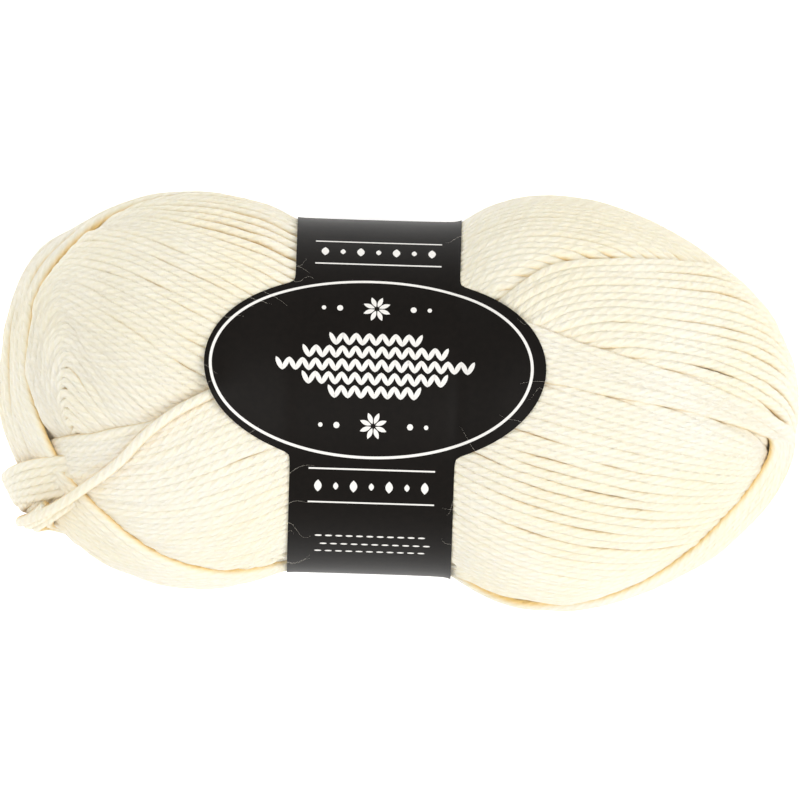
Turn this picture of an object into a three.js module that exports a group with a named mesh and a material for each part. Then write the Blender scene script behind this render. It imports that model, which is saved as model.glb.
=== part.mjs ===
// A 50 g pull ball of soft wool, machine-wound, lying on its side with a die-cut paper band
// round its waist. X runs along the ball, Y across it and Z up. The ball rests on z = 0, and
// the origin is the middle of the ground that it covers. All sizes are in millimetres.
import * as THREE from 'three';

// The ball's form without its twists.
const HALF_LENGTH = 67.8;
const AXIS_HEIGHT = 30.6;
const WAIST_FLATNESS = 0.92;        // height of a cross-section over its width, at the waist
const FLATNESS_PER_MM = -0.0006;    // the right lobe is the wider one and lies flatter
const YARN_DIAMETER = 1.9;
const CENTRING = { x: 0.7, y: 0.5 };  // puts the middle of the whole ball over the origin

// Fullness is the half-width that a section would have if it stood at the ball's middle.
// The real half-width is fullness times the height of a unit circle there.
const SECTIONS = [
  { x: -69.6, fullness: 48.2 },
  { x: -60.0, fullness: 45.2 },
  { x: -48.0, fullness: 42.4 },
  { x: -34.0, fullness: 37.6 },
  { x: -21.0, fullness: 31.4 },
  { x: -17.0, fullness: 29.8 },
  { x: -4.3, fullness: 28.6 },
  { x: 8.0, fullness: 29.4 },
  { x: 12.0, fullness: 31.4 },
  { x: 22.0, fullness: 36.0 },
  { x: 35.0, fullness: 38.8 },
  { x: 52.0, fullness: 39.9 },
  { x: 69.6, fullness: 41.2 },
];

// Places on the ball are an azimuth round X, 0 at the top and growing towards +Y, and a
// latitude from the waist towards the end of the left (side -1) or right (side 1) lobe.
// The two pull holes are sunk and the turns that fold under the left bundle bulge out.
const SWELLS = [
  { name: 'left hole', side: -1, azimuth: -22, latitude: 59, reach: 6, height: -5.0 },
  { name: 'right hole', side: 1, azimuth: -26, latitude: 67, reach: 6, height: -5.0 },
  { name: 'upper fold', side: -1, azimuth: -84, latitude: 72, reach: 7, height: 3.0 },
  { name: 'lower fold', side: -1, azimuth: -84, latitude: 62, reach: 6, height: 3.0 },
];

// Each winding is a fan of yarn on one lobe, and later rows lie over earlier ones. Its first
// and last strands run from under the band in front, over the lobe and round the end to
// under the band behind, through [azimuth, latitude] pairs. A winding is raised as a few
// twists, each of which stands for three or four turns, to `rise` above the ball's form.
const WINDINGS = [
  {
    name: 'left fan', side: -1, twists: 7, rise: 1.5,
    first: [[92, 3], [90, 22], [86, 42], [66, 62], [0, 71], [-66, 70], [-95, 48], [-105, 3]],
    last: [[-38, 3], [-24, 20], [-12, 43], [9, 57], [-22, 67], [-72, 64], [-125, 40], [-165, 3]],
  },
  {
    name: 'lower left fan', side: -1, twists: 4, rise: 1.9,
    first: [[16, 3], [2, 24], [-12, 41], [-27, 60], [-48, 76], [-130, 80], [155, 45], [120, 3]],
    last: [[-48, 3], [-52, 14], [-59, 28], [-64, 44], [-82, 60], [-125, 62], [-160, 36], [-165, 3]],
  },
  {
    name: 'left bundle', side: -1, twists: 3, rise: 3.6,
    first: [[100, 3], [96, 22], [84, 44], [56, 66], [2, 70], [-32, 58], [-60, 38], [-86, 20], [-100, 3]],
    last: [[140, 3], [124, 24], [104, 46], [88, 70], [10, 84], [-64, 66], [-82, 42], [-100, 22], [-120, 3]],
  },
  {
    name: 'right back fan', side: 1, twists: 5, rise: 1.5,
    first: [[96, -2], [98, 20], [104, 40], [118, 60], [170, 76], [-110, 66], [-96, 40], [-92, -2]],
    last: [[170, -2], [172, 20], [176, 40], [-175, 58], [-150, 64], [-130, 56], [-116, 30], [-108, -2]],
  },
  {
    name: 'upper right fan', side: 1, twists: 4, rise: 1.5,
    first: [[90, -2], [90, 14], [92, 30], [96, 46], [104, 62], [130, 72], [150, 40], [160, 3]],
    last: [[34, -2], [44, 10], [40, 19], [30, 30], [14, 44], [-20, 56], [-60, 40], [-90, 3]],
  },
  {
    name: 'lower right fan', side: 1, twists: 6, rise: 1.5,
    first: [[26, -2], [18, 10], [3, 26], [-10, 45], [-36, 68], [-90, 74], [-130, 40], [-150, 3]],
    last: [[-46, -2], [-64, 14], [-82, 30], [-98, 46], [-116, 60], [-150, 58], [-170, 30], [-180, 3]],
  },
  {
    name: 'right arches', side: 1, twists: 4, rise: 1.9,
    first: [[14, 0], [30, 14], [44, 27], [52, 42], [58, 58], [42, 74], [-45, 76], [-75, 50], [-112, 24],
      [-130, 3]],
    last: [[-22, 0], [-8, 20], [14, 38], [30, 52], [36, 64], [-5, 70], [-44, 60], [-68, 44], [-90, 26],
      [-110, 3]],
  },
  {
    name: 'right bundle', side: 1, twists: 2, rise: 2.6,
    first: [[44, 0], [30, 16], [19, 34], [9, 55], [-16, 75], [-50, 68], [-76, 48], [-100, 28], [-125, 3]],
    last: [[26, 0], [14, 18], [9, 34], [2, 52], [-24, 68], [-47, 60], [-66, 46], [-86, 28], [-110, 3]],
  },
];
const TWIST_REACH = 3.6;            // half-width of a twist at its foot
const TWIST_STEPS = 56;             // pieces in each twist's centre line
const BALL_DETAIL = 21;             // divisions of the round mesh's edges, less one

// The paper band. Angles go round X as azimuths do.
// The wool is pressed to one low height beneath it and swells again past its edges.
const BAND = {
  centre: -4.5, halfWidth: 14.3, inside: 29.9, thickness: 1.0, blend: 0.8, pressed: 0.9, margin: 2.0,
  relaxes: 7.0,
};
const MEDALLION = { halfLength: 29.7, middle: 10.2, halfAngle: 33.5, corner: 1.2 };
const PAPER_MESH = { rows: 30, medallionRows: 28, margin: 4, columns: 10 };
const CLEARANCE = 0.4;

// The yarn's outer end comes out of the lower left folds, crosses the bundle and is tucked
// under the medallion. Each point is an azimuth, a latitude and a lift over the smooth form.
const LOOSE_END = [
  [-68, 62, 6.7],
  [-53, 58, 5.8],
  [-44, 54.5, 5.2],
  [-36, 51, 4.1],
  [-23, 44, 2.9],
  [-13, 39, 2.9],
  [-6, 34, 2.8],
  [-2, 30, 2.4],
];
const LOOSE_END_MESH = { sides: 8, steps: 12 };

/** Height of the smooth curve through the table's rows at x. */
function fullnessAt(x) {
  const rows = SECTIONS;
  let i = 0;
  while (i < rows.length - 2 && x > rows[i + 1].x) {
    i += 1;
  }
  const slope = (k) => {
    const a = rows[Math.max(k - 1, 0)];
    const b = rows[Math.min(k + 1, rows.length - 1)];
    return (b.fullness - a.fullness) / (b.x - a.x);
  };
  const width = rows[i + 1].x - rows[i].x;
  const t = THREE.MathUtils.clamp((x - rows[i].x) / width, 0, 1);
  const rising = t * t * (3 - 2 * t);
  const start = t * (1 - t) * (1 - t) * width * slope(i);
  const end = -t * t * (1 - t) * width * slope(i + 1);
  return rows[i].fullness + (rows[i + 1].fullness - rows[i].fullness) * rising + start + end;
}

/** Half-width and flatness of the smooth form's cross-section at x. */
function sectionAt(x) {
  const across = Math.sqrt(Math.max(1 - (x / HALF_LENGTH) ** 2, 0));
  return { halfWidth: fullnessAt(x) * across, flatness: WAIST_FLATNESS + FLATNESS_PER_MM * x };
}

/** Unit vector of an azimuth and a latitude, in degrees, on the lobe of the given side. */
function directionOf(side, azimuth, latitude) {
  const turn = THREE.MathUtils.degToRad(azimuth);
  const lean = THREE.MathUtils.degToRad(latitude);
  const across = Math.cos(lean);
  return new THREE.Vector3(side * Math.sin(lean), across * Math.sin(turn), across * Math.cos(turn));
}

/** Point of the smooth form in a direction, pushed out by `offset` along the form's normal. */
function formPoint(direction, offset = 0) {
  const x = direction.x * HALF_LENGTH;
  const fullness = fullnessAt(x);
  const height = fullness * sectionAt(x).flatness;
  const normal = new THREE.Vector3(
    direction.x / HALF_LENGTH,
    direction.y / fullness,
    direction.z / height,
  ).normalize();
  return new THREE.Vector3(x, fullness * direction.y, height * direction.z).addScaledVector(normal, offset);
}

/** Curve of directions through a row's [azimuth, latitude] pairs. */
function strandCurve(side, pairs) {
  return new THREE.CatmullRomCurve3(
    pairs.map(([azimuth, latitude]) => directionOf(side, azimuth, latitude)),
    false,
    'centripetal',
  );
}

/** Centre lines of a winding's twists, evenly placed between its first and last strands. */
function twistLines(winding) {
  const first = strandCurve(winding.side, winding.first).getPoints(TWIST_STEPS);
  const last = strandCurve(winding.side, winding.last).getPoints(TWIST_STEPS);
  const lines = [];
  for (let k = 0; k < winding.twists; k += 1) {
    const share = (k + 0.5) / winding.twists;
    lines.push(first.map((start, i) => formPoint(start.clone().lerp(last[i], share).normalize())));
  }
  return lines;
}

/** Half-width of the paper at an angle: the medallion where it is wider, else the band. */
function paperHalfWidth(angle) {
  const fraction = (angle - MEDALLION.middle) / MEDALLION.halfAngle;
  const oval = MEDALLION.halfLength * Math.sqrt(Math.max(1 - fraction * fraction, 0));
  return (BAND.halfWidth + oval + Math.hypot(BAND.halfWidth - oval, MEDALLION.corner)) / 2;
}

/** Inner half-width of the paper at x: a straight tube that rides up on the lobes. */
function paperInside(x) {
  const wool = sectionAt(x).halfWidth + BAND.pressed + CLEARANCE;
  return (wool + BAND.inside + Math.hypot(wool - BAND.inside, BAND.blend)) / 2;
}

const TWISTS = WINDINGS.map((winding) => ({ ...winding, lines: twistLines(winding) }));

/** Height of the twists, folds and holes over the smooth form in a direction. */
function reliefAt(direction) {
  const point = formPoint(direction);
  const spot = new THREE.Vector3();
  const piece = new THREE.Line3();
  let rise = 0;
  for (const { side, lines, rise: top } of TWISTS) {
    if (side * point.x < -BAND.halfWidth) {
      continue;
    }
    for (const line of lines) {
      let nearest = Infinity;
      for (let i = 0; i + 1 < line.length; i += 1) {
        piece.set(line[i], line[i + 1]);
        piece.closestPointToPoint(point, true, spot);
        nearest = Math.min(nearest, spot.distanceToSquared(point));
      }
      const across = nearest / TWIST_REACH ** 2;
      rise = Math.max(rise, top * Math.sqrt(Math.max(1 - across, 0)));
    }
  }
  const angle = THREE.MathUtils.radToDeg(Math.atan2(direction.y, direction.z));
  const beyondPaper = Math.abs(point.x - BAND.centre) - paperHalfWidth(angle);
  const free = THREE.MathUtils.smoothstep(beyondPaper, BAND.margin, BAND.relaxes);
  rise = THREE.MathUtils.lerp(Math.min(rise, BAND.pressed), rise, free);
  for (const { side, azimuth, latitude, reach, height } of SWELLS) {
    const away = direction.angleTo(directionOf(side, azimuth, latitude));
    rise += height * Math.exp(-((THREE.MathUtils.radToDeg(away) / reach) ** 2));
  }
  return rise;
}

/** The wound ball: a round mesh drawn out to the form, raised in twists and flat below. */
function woundBall() {
  const geometry = new THREE.IcosahedronGeometry(1, BALL_DETAIL);
  const points = geometry.getAttribute('position');
  const direction = new THREE.Vector3();
  const known = new Map();
  for (let i = 0; i < points.count; i += 1) {
    direction.fromBufferAttribute(points, i).normalize();
    const key = direction.toArray().map((value) => value.toFixed(5)).join();
    if (!known.has(key)) {
      const point = formPoint(direction, reliefAt(direction));
      point.z = Math.max(point.z + AXIS_HEIGHT, 0);
      known.set(key, point);
    }
    const point = known.get(key);
    points.setXYZ(i, point.x, point.y, point.z);
  }
  geometry.computeVertexNormals();
  return geometry;
}

/** Angles of the paper's cross rows, close together at the medallion and wider elsewhere. */
function paperAngles() {
  const { rows, medallionRows, margin } = PAPER_MESH;
  const start = MEDALLION.middle - MEDALLION.halfAngle - margin;
  const span = 2 * (MEDALLION.halfAngle + margin);
  const angles = [];
  for (let i = 0; i < medallionRows; i += 1) {
    angles.push(start + (span * i) / medallionRows);
  }
  for (let i = 0; i < rows; i += 1) {
    angles.push(start + span + ((360 - span) * i) / rows);
  }
  return angles;
}

/** The paper band: an outer and an inner skin over the same rows, closed along both edges. */
function paperBand() {
  const angles = paperAngles();
  const columns = PAPER_MESH.columns;
  const positions = [];
  for (const extra of [BAND.thickness, 0]) {
    for (const angle of angles) {
      const turn = THREE.MathUtils.degToRad(angle);
      for (let i = 0; i <= columns; i += 1) {
        const x = BAND.centre + paperHalfWidth(angle) * ((2 * i) / columns - 1);
        const inside = paperInside(x);
        const y = (inside + extra) * Math.sin(turn);
        const z = (inside * sectionAt(x).flatness + extra) * Math.cos(turn);
        positions.push(x, y, z + AXIS_HEIGHT);
      }
    }
  }
  const rows = angles.length;
  const place = (skin, row, column) => (skin * rows + (row % rows)) * (columns + 1) + column;
  const faces = [];
  const quad = (a, b, c, d) => faces.push(a, b, c, a, c, d);
  for (let row = 0; row < rows; row += 1) {
    for (let i = 0; i < columns; i += 1) {
      quad(place(0, row, i), place(0, row, i + 1), place(0, row + 1, i + 1), place(0, row + 1, i));
      quad(place(1, row, i), place(1, row + 1, i), place(1, row + 1, i + 1), place(1, row, i + 1));
    }
    quad(place(0, row, 0), place(0, row + 1, 0), place(1, row + 1, 0), place(1, row, 0));
    const end = columns;
    quad(place(0, row, end), place(1, row, end), place(1, row + 1, end), place(0, row + 1, end));
  }
  const geometry = new THREE.BufferGeometry();
  geometry.setAttribute('position', new THREE.Float32BufferAttribute(positions, 3));
  geometry.setIndex(faces);
  geometry.computeVertexNormals();
  return geometry;
}

/** The loose end: a round section drawn along its route over the left lobe. */
function looseEnd() {
  const route = LOOSE_END.map(([azimuth, latitude, lift]) => {
    const point = formPoint(directionOf(-1, azimuth, latitude), lift);
    point.z += AXIS_HEIGHT;
    return point;
  });
  const corners = [];
  for (let i = 0; i < LOOSE_END_MESH.sides; i += 1) {
    const turn = (i * 2 * Math.PI) / LOOSE_END_MESH.sides;
    corners.push(new THREE.Vector2(Math.cos(turn), Math.sin(turn)).multiplyScalar(YARN_DIAMETER / 2));
  }
  return new THREE.ExtrudeGeometry(new THREE.Shape(corners), {
    steps: LOOSE_END_MESH.steps,
    bevelEnabled: false,
    extrudePath: new THREE.CatmullRomCurve3(route),
  });
}

/** A named piece of the ball in its own colour. */
function piece(name, geometry, color, roughness) {
  const mesh = new THREE.Mesh(geometry, new THREE.MeshStandardMaterial({ color, roughness, metalness: 0 }));
  mesh.name = name;
  return mesh;
}

const ball = new THREE.Group();
ball.position.set(CENTRING.x, CENTRING.y, 0);
ball.add(piece('wound_ball', woundBall(), '#f6efd8', 0.95));
ball.add(piece('paper_band', paperBand(), '#1e1a17', 0.5));
ball.add(piece('loose_end', looseEnd(), '#f6efd8', 0.95));

export default ball;
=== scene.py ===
"""A 50 g pull ball of cream worsted wool in a black card band, lying on its side.

Sizes are in millimetres in the ball's own frame, and become metres as each mesh is made.
"""

import bpy
import numpy as np
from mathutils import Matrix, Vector


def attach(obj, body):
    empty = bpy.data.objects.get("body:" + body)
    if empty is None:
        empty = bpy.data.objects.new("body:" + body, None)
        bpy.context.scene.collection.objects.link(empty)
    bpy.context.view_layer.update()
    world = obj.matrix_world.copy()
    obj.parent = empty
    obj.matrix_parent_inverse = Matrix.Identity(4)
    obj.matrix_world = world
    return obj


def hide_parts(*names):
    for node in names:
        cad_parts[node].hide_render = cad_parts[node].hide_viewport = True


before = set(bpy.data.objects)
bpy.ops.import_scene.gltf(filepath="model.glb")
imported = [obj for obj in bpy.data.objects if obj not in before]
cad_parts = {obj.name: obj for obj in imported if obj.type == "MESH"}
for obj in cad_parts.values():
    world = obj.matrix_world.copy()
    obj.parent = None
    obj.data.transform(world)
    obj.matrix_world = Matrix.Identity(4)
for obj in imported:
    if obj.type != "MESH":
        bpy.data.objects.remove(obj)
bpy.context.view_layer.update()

# ------------------------------------------------
# The heart of the ball: the wool wound first, which later turns hide almost everywhere.
# It is a closed surface a little inside the ball's form, with the two pull holes sunk in
# it. It shows only as a shaded, fibrous ground between strands and down the holes.
# ------------------------------------------------
HALF_LENGTH = 67.8
AXIS_HEIGHT = 30.6                  # of the ball's long axis over the ground
WAIST_FLATNESS = 0.92               # height over width of a section, at x = 0
FLATNESS_PER_MM = -0.0006
CENTRING = np.array([0.7, 0.5, 0.0])    # brings the middle of the ground it covers to the origin
# Along the ball, and the half-width that a section would have if it stood at the middle.
SECTIONS = np.array([
    [-69.6, 48.2], [-60.0, 45.2], [-48.0, 42.4], [-34.0, 37.6], [-21.0, 31.4],
    [-17.0, 29.8], [-4.3, 28.6], [8.0, 29.4], [12.0, 31.4], [22.0, 36.0],
    [35.0, 38.8], [52.0, 39.9], [69.6, 41.2],
])
# Lobe, azimuth round X from the top towards +Y, latitude from the waist, reach in degrees, depth.
PULL_HOLES = [(-1, -22, 59, 4.5, 1.6), (1, -28, 68, 4.5, 0.4)]
HEART_LIFT = -3.4                   # of the heart's surface from the ball's form
HEART_SINKS = 1.3                   # its pull holes' depth over the windings'
POLE_GAP = 2.0                      # degrees that its two ends stop short of a pole before they close


def eased(t):
    """3 t squared - 2 t cubed: from 0 to 1, level at both."""
    return t * t * (3 - 2 * t)


def fullness_at(x):
    """Cubic pieces through SECTIONS, each row's slope being the one between its neighbours."""
    rows, fullness = SECTIONS.T
    before = np.r_[0, np.arange(len(rows) - 1)]
    after = np.r_[np.arange(1, len(rows)), len(rows) - 1]
    slope = (fullness[after] - fullness[before]) / (rows[after] - rows[before])
    i = np.clip(np.searchsorted(rows, x, side="right") - 1, 0, len(rows) - 2)
    width = rows[i + 1] - rows[i]
    t = np.clip((x - rows[i]) / width, 0, 1)
    bends = t * (1 - t) * width * ((1 - t) * slope[i] - t * slope[i + 1])
    return fullness[i] + (fullness[i + 1] - fullness[i]) * eased(t) + bends


def flatness_at(x):
    """Height over width of the section at x."""
    return WAIST_FLATNESS + FLATNESS_PER_MM * x


def direction_of(side, azimuth, latitude):
    """(side sin(lat), cos(lat) sin(az), cos(lat) cos(az)): a place on the ball as a unit vector."""
    azimuth, latitude = np.broadcast_arrays(np.radians(azimuth), np.radians(latitude))
    return np.stack([
        side * np.sin(latitude),
        np.cos(latitude) * np.sin(azimuth),
        np.cos(latitude) * np.cos(azimuth),
    ], axis=-1)


def unit(vectors):
    return vectors / np.linalg.norm(vectors, axis=-1, keepdims=True)


def form_and_normal(direction):
    """The form's point (67.8 dx, f dy, f k dz) and its normal, for fullness f and flatness k there."""
    x = direction[..., 0] * HALF_LENGTH
    fullness = fullness_at(x)
    height = fullness * flatness_at(x)
    point = np.stack([x, fullness * direction[..., 1], height * direction[..., 2]], axis=-1)
    normal = unit(direction / np.stack([np.full_like(x, HALF_LENGTH), fullness, height], axis=-1))
    point[..., 2] += AXIS_HEIGHT
    return point, normal


def direction_at(point):
    """The direction whose form point lies nearest in line: each coordinate over its half-size."""
    x = np.clip(point[..., 0], -HALF_LENGTH, HALF_LENGTH)
    fullness = fullness_at(x)
    return unit(np.stack([
        point[..., 0] / HALF_LENGTH,
        point[..., 1] / fullness,
        (point[..., 2] - AXIS_HEIGHT) / (fullness * flatness_at(x)),
    ], axis=-1))


def hole_depth(direction):
    """Sum of depth times exp(-(angle / reach) squared) over the pull holes."""
    total = np.zeros(direction.shape[:-1])
    for side, azimuth, latitude, reach, depth in PULL_HOLES:
        cosine = np.clip(direction @ direction_of(side, azimuth, latitude), -1, 1)
        total += depth * np.exp(-((np.degrees(np.arccos(cosine)) / reach) ** 2))
    return total


def closed_grids(grids, looped=False):
    """Points, quads and triangles of closed tubes given as [tube, ring, place round, 3].

    Quads join neighbouring rings, and fans of triangles join the end rings to their middles. A
    looped tube has no ends: its last ring joins its first.
    """
    tubes, rings, sides = grids.shape[:3]
    if looped:
        ring, place = np.meshgrid(np.arange(rings), np.arange(sides), indexing="ij")
        here, onward, beside = ring * sides, (ring + 1) % rings * sides, (place + 1) % sides
        quads = np.stack([here + place, here + beside, onward + beside, onward + place], axis=-1)
        return grids.reshape(-1, 3), quads.reshape(-1, 4), np.empty((0, 3), int)
    poles = grids[:, [0, -1]].mean(axis=2)
    points = np.concatenate([grids.reshape(tubes, -1, 3), poles], axis=1).reshape(-1, 3)
    first = np.arange(tubes)[:, None, None] * (rings * sides + 2)
    ring, place = np.arange(rings - 1)[None, :, None], np.arange(sides)[None, None, :]
    here, beside = first + ring * sides + place, first + ring * sides + (place + 1) % sides
    quads = np.stack([here, beside, beside + sides, here + sides], axis=-1).reshape(-1, 4)
    first = first[:, 0]
    here, beside = first + np.arange(sides), first + (np.arange(sides) + 1) % sides
    pole, last = np.broadcast_to(first + rings * sides, here.shape), (rings - 1) * sides
    start = np.stack([beside, here, pole], axis=-1)
    end = np.stack([here + last, beside + last, pole + 1], axis=-1)
    return points, quads, np.concatenate([start, end]).reshape(-1, 3)


def make_mesh(name, points, quads, triangles=(), materials=(), smooth=True):
    """A mesh object from points in ball millimetres, moved over the origin and pressed flat at z = 0."""
    points = points + CENTRING
    points[:, 2] = np.maximum(points[:, 2], 0)
    quads, triangles = np.asarray(quads).reshape(-1, 4), np.asarray(triangles, int).reshape(-1, 3)
    sizes = np.r_[np.full(len(quads), 4), np.full(len(triangles), 3)]
    mesh = bpy.data.meshes.new(name)
    mesh.vertices.add(len(points))
    mesh.vertices.foreach_set("co", (points * 0.001).astype(np.float32).ravel())
    mesh.loops.add(int(sizes.sum()))
    mesh.loops.foreach_set("vertex_index", np.r_[quads.ravel(), triangles.ravel()].astype(np.int32))
    mesh.polygons.add(len(sizes))
    mesh.polygons.foreach_set("loop_start", (np.cumsum(sizes) - sizes).astype(np.int32))
    mesh.polygons.foreach_set("use_smooth", np.full(len(sizes), smooth))
    mesh.update(calc_edges=True)
    for material in materials:
        mesh.materials.append(material)
    piece = bpy.data.objects.new(name, mesh)
    bpy.context.scene.collection.objects.link(piece)
    return piece


def srgb(code):
    """'#rrggbb' as linear red, green, blue and alpha: ((c + 0.055) / 1.055) to the power 2.4."""
    values = np.array([int(code[i:i + 2], 16) for i in (1, 3, 5)]) / 255
    linear = np.where(values <= 0.04045, values / 12.92, ((values + 0.055) / 1.055) ** 2.4)
    return (*linear.tolist(), 1.0)


def feed(node, inputs):
    """Gives each of a node's inputs a link, where the value is a socket, or else the plain value."""
    for key, value in inputs.items():
        if isinstance(value, bpy.types.NodeSocket):
            node.id_data.links.new(node.inputs[key], value)
        else:
            node.inputs[key].default_value = value


def add(material, kind, inputs=None, colours=(), **settings):
    """Adds a node. Settings are its attributes, and colours are a colour ramp's, in sRGB hex."""
    node = material.node_tree.nodes.new(kind)
    for key, value in settings.items():
        setattr(node, key, value)
    for number, code in enumerate(colours):
        node.color_ramp.elements[number].color = srgb(code)
    feed(node, inputs or {})
    return node


def new_material(name, **inputs):
    """A material and its Principled shader, with plain values set on the shader's own sockets."""
    material = bpy.data.materials.new(name)
    material.use_nodes = True
    shader = material.node_tree.nodes["Principled BSDF"]
    feed(shader, {key.replace("_", " "): value for key, value in inputs.items()})
    return material, shader


def inner_wool():
    """Worsted wool in the dark of the ball: matt, its colour painted a darker tan for the shade there and for
    light passed from strand to strand.
    """
    material, shader = new_material(
        "inner_worsted_wool_painted_shade", Roughness=1.0, Sheen_Weight=0.2, Sheen_Roughness=0.6)
    place = add(material, "ShaderNodeTexCoord").outputs["Object"]
    fibres = add(material, "ShaderNodeTexNoise",
                 {"Vector": place, "Scale": 420.0, "Detail": 4.0, "Roughness": 0.6}).outputs["Fac"]
    # Painted shade: both colours are darker and more tan than the outer yarn's; the fibres' noise between them
    # is their own tone.
    colour = add(material, "ShaderNodeValToRGB", {"Fac": fibres}, ("#c9b78d", "#eadfbe"))
    bump = add(material, "ShaderNodeBump", {"Height": fibres, "Strength": 0.8, "Distance": 0.0008})
    feed(shader, {"Base Color": colour.outputs["Color"], "Normal": bump.outputs["Normal"]})
    return material


latitudes = np.linspace(POLE_GAP - 90, 90 - POLE_GAP, 150)
azimuths = np.arange(0, 360, 3.0)
heart_directions = direction_of(1, azimuths[None, ::-1], latitudes[:, None])
heart_points, heart_normals = form_and_normal(heart_directions)
heart_lift = HEART_LIFT - HEART_SINKS * hole_depth(heart_directions)
heart_grid = heart_points + heart_normals * heart_lift[..., None]
heart = make_mesh("ball_heart", *closed_grids(heart_grid[None]), [inner_wool()])
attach(heart, "root")
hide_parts("wound_ball")

# ------------------------------------------------
# The windings: one worsted yarn of four plies, machine-wound in fans of turns over the two
# lobes. Each strand comes from under the band, runs over its lobe, round the end and back
# under the band. Later turns press the ones below them down into the ball.
# ------------------------------------------------
YARN_RADIUS = 0.93                  # of the soft strand
PRESSED_RADIUS = 0.68               # half the distance between two crossing strands' middles
PRESSED_WIDE = 1.05                 # how much wider than high a strand is among its neighbours
CROWDING = 0.25                     # how much lower a turn goes where it crowds the next one
MOST_CROWDING = 0.7                 # and the most that a winding sinks by it
DEEPEST = -6.0                      # that any strand goes, from the ball's form
WANDER = 0.12                       # how far a strand strays to its sides
WINDER_ERROR = 0.06                 # share of a turn by which the winder misplaces one
PLIES = 4
PLY_PITCH = 9.0                     # one whole turn of the plies
# The band and its medallion, which hold the turns down: sizes along the ball, and degrees round it.
CARD_THICKNESS = 0.3
CARD_LIFT = 0.65                    # of the card's inner face over its form
BAND = dict(centre=-4.5, half_width=14.3, inside=29.9, blend=0.8)
MEDALLION = dict(half_length=29.7, middle=10.2, half_angle=33.5, corner=1.2)
WINGS_FROM, WINGS_TO = 70, 110      # where the card's wings have their whole share, and none
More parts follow.
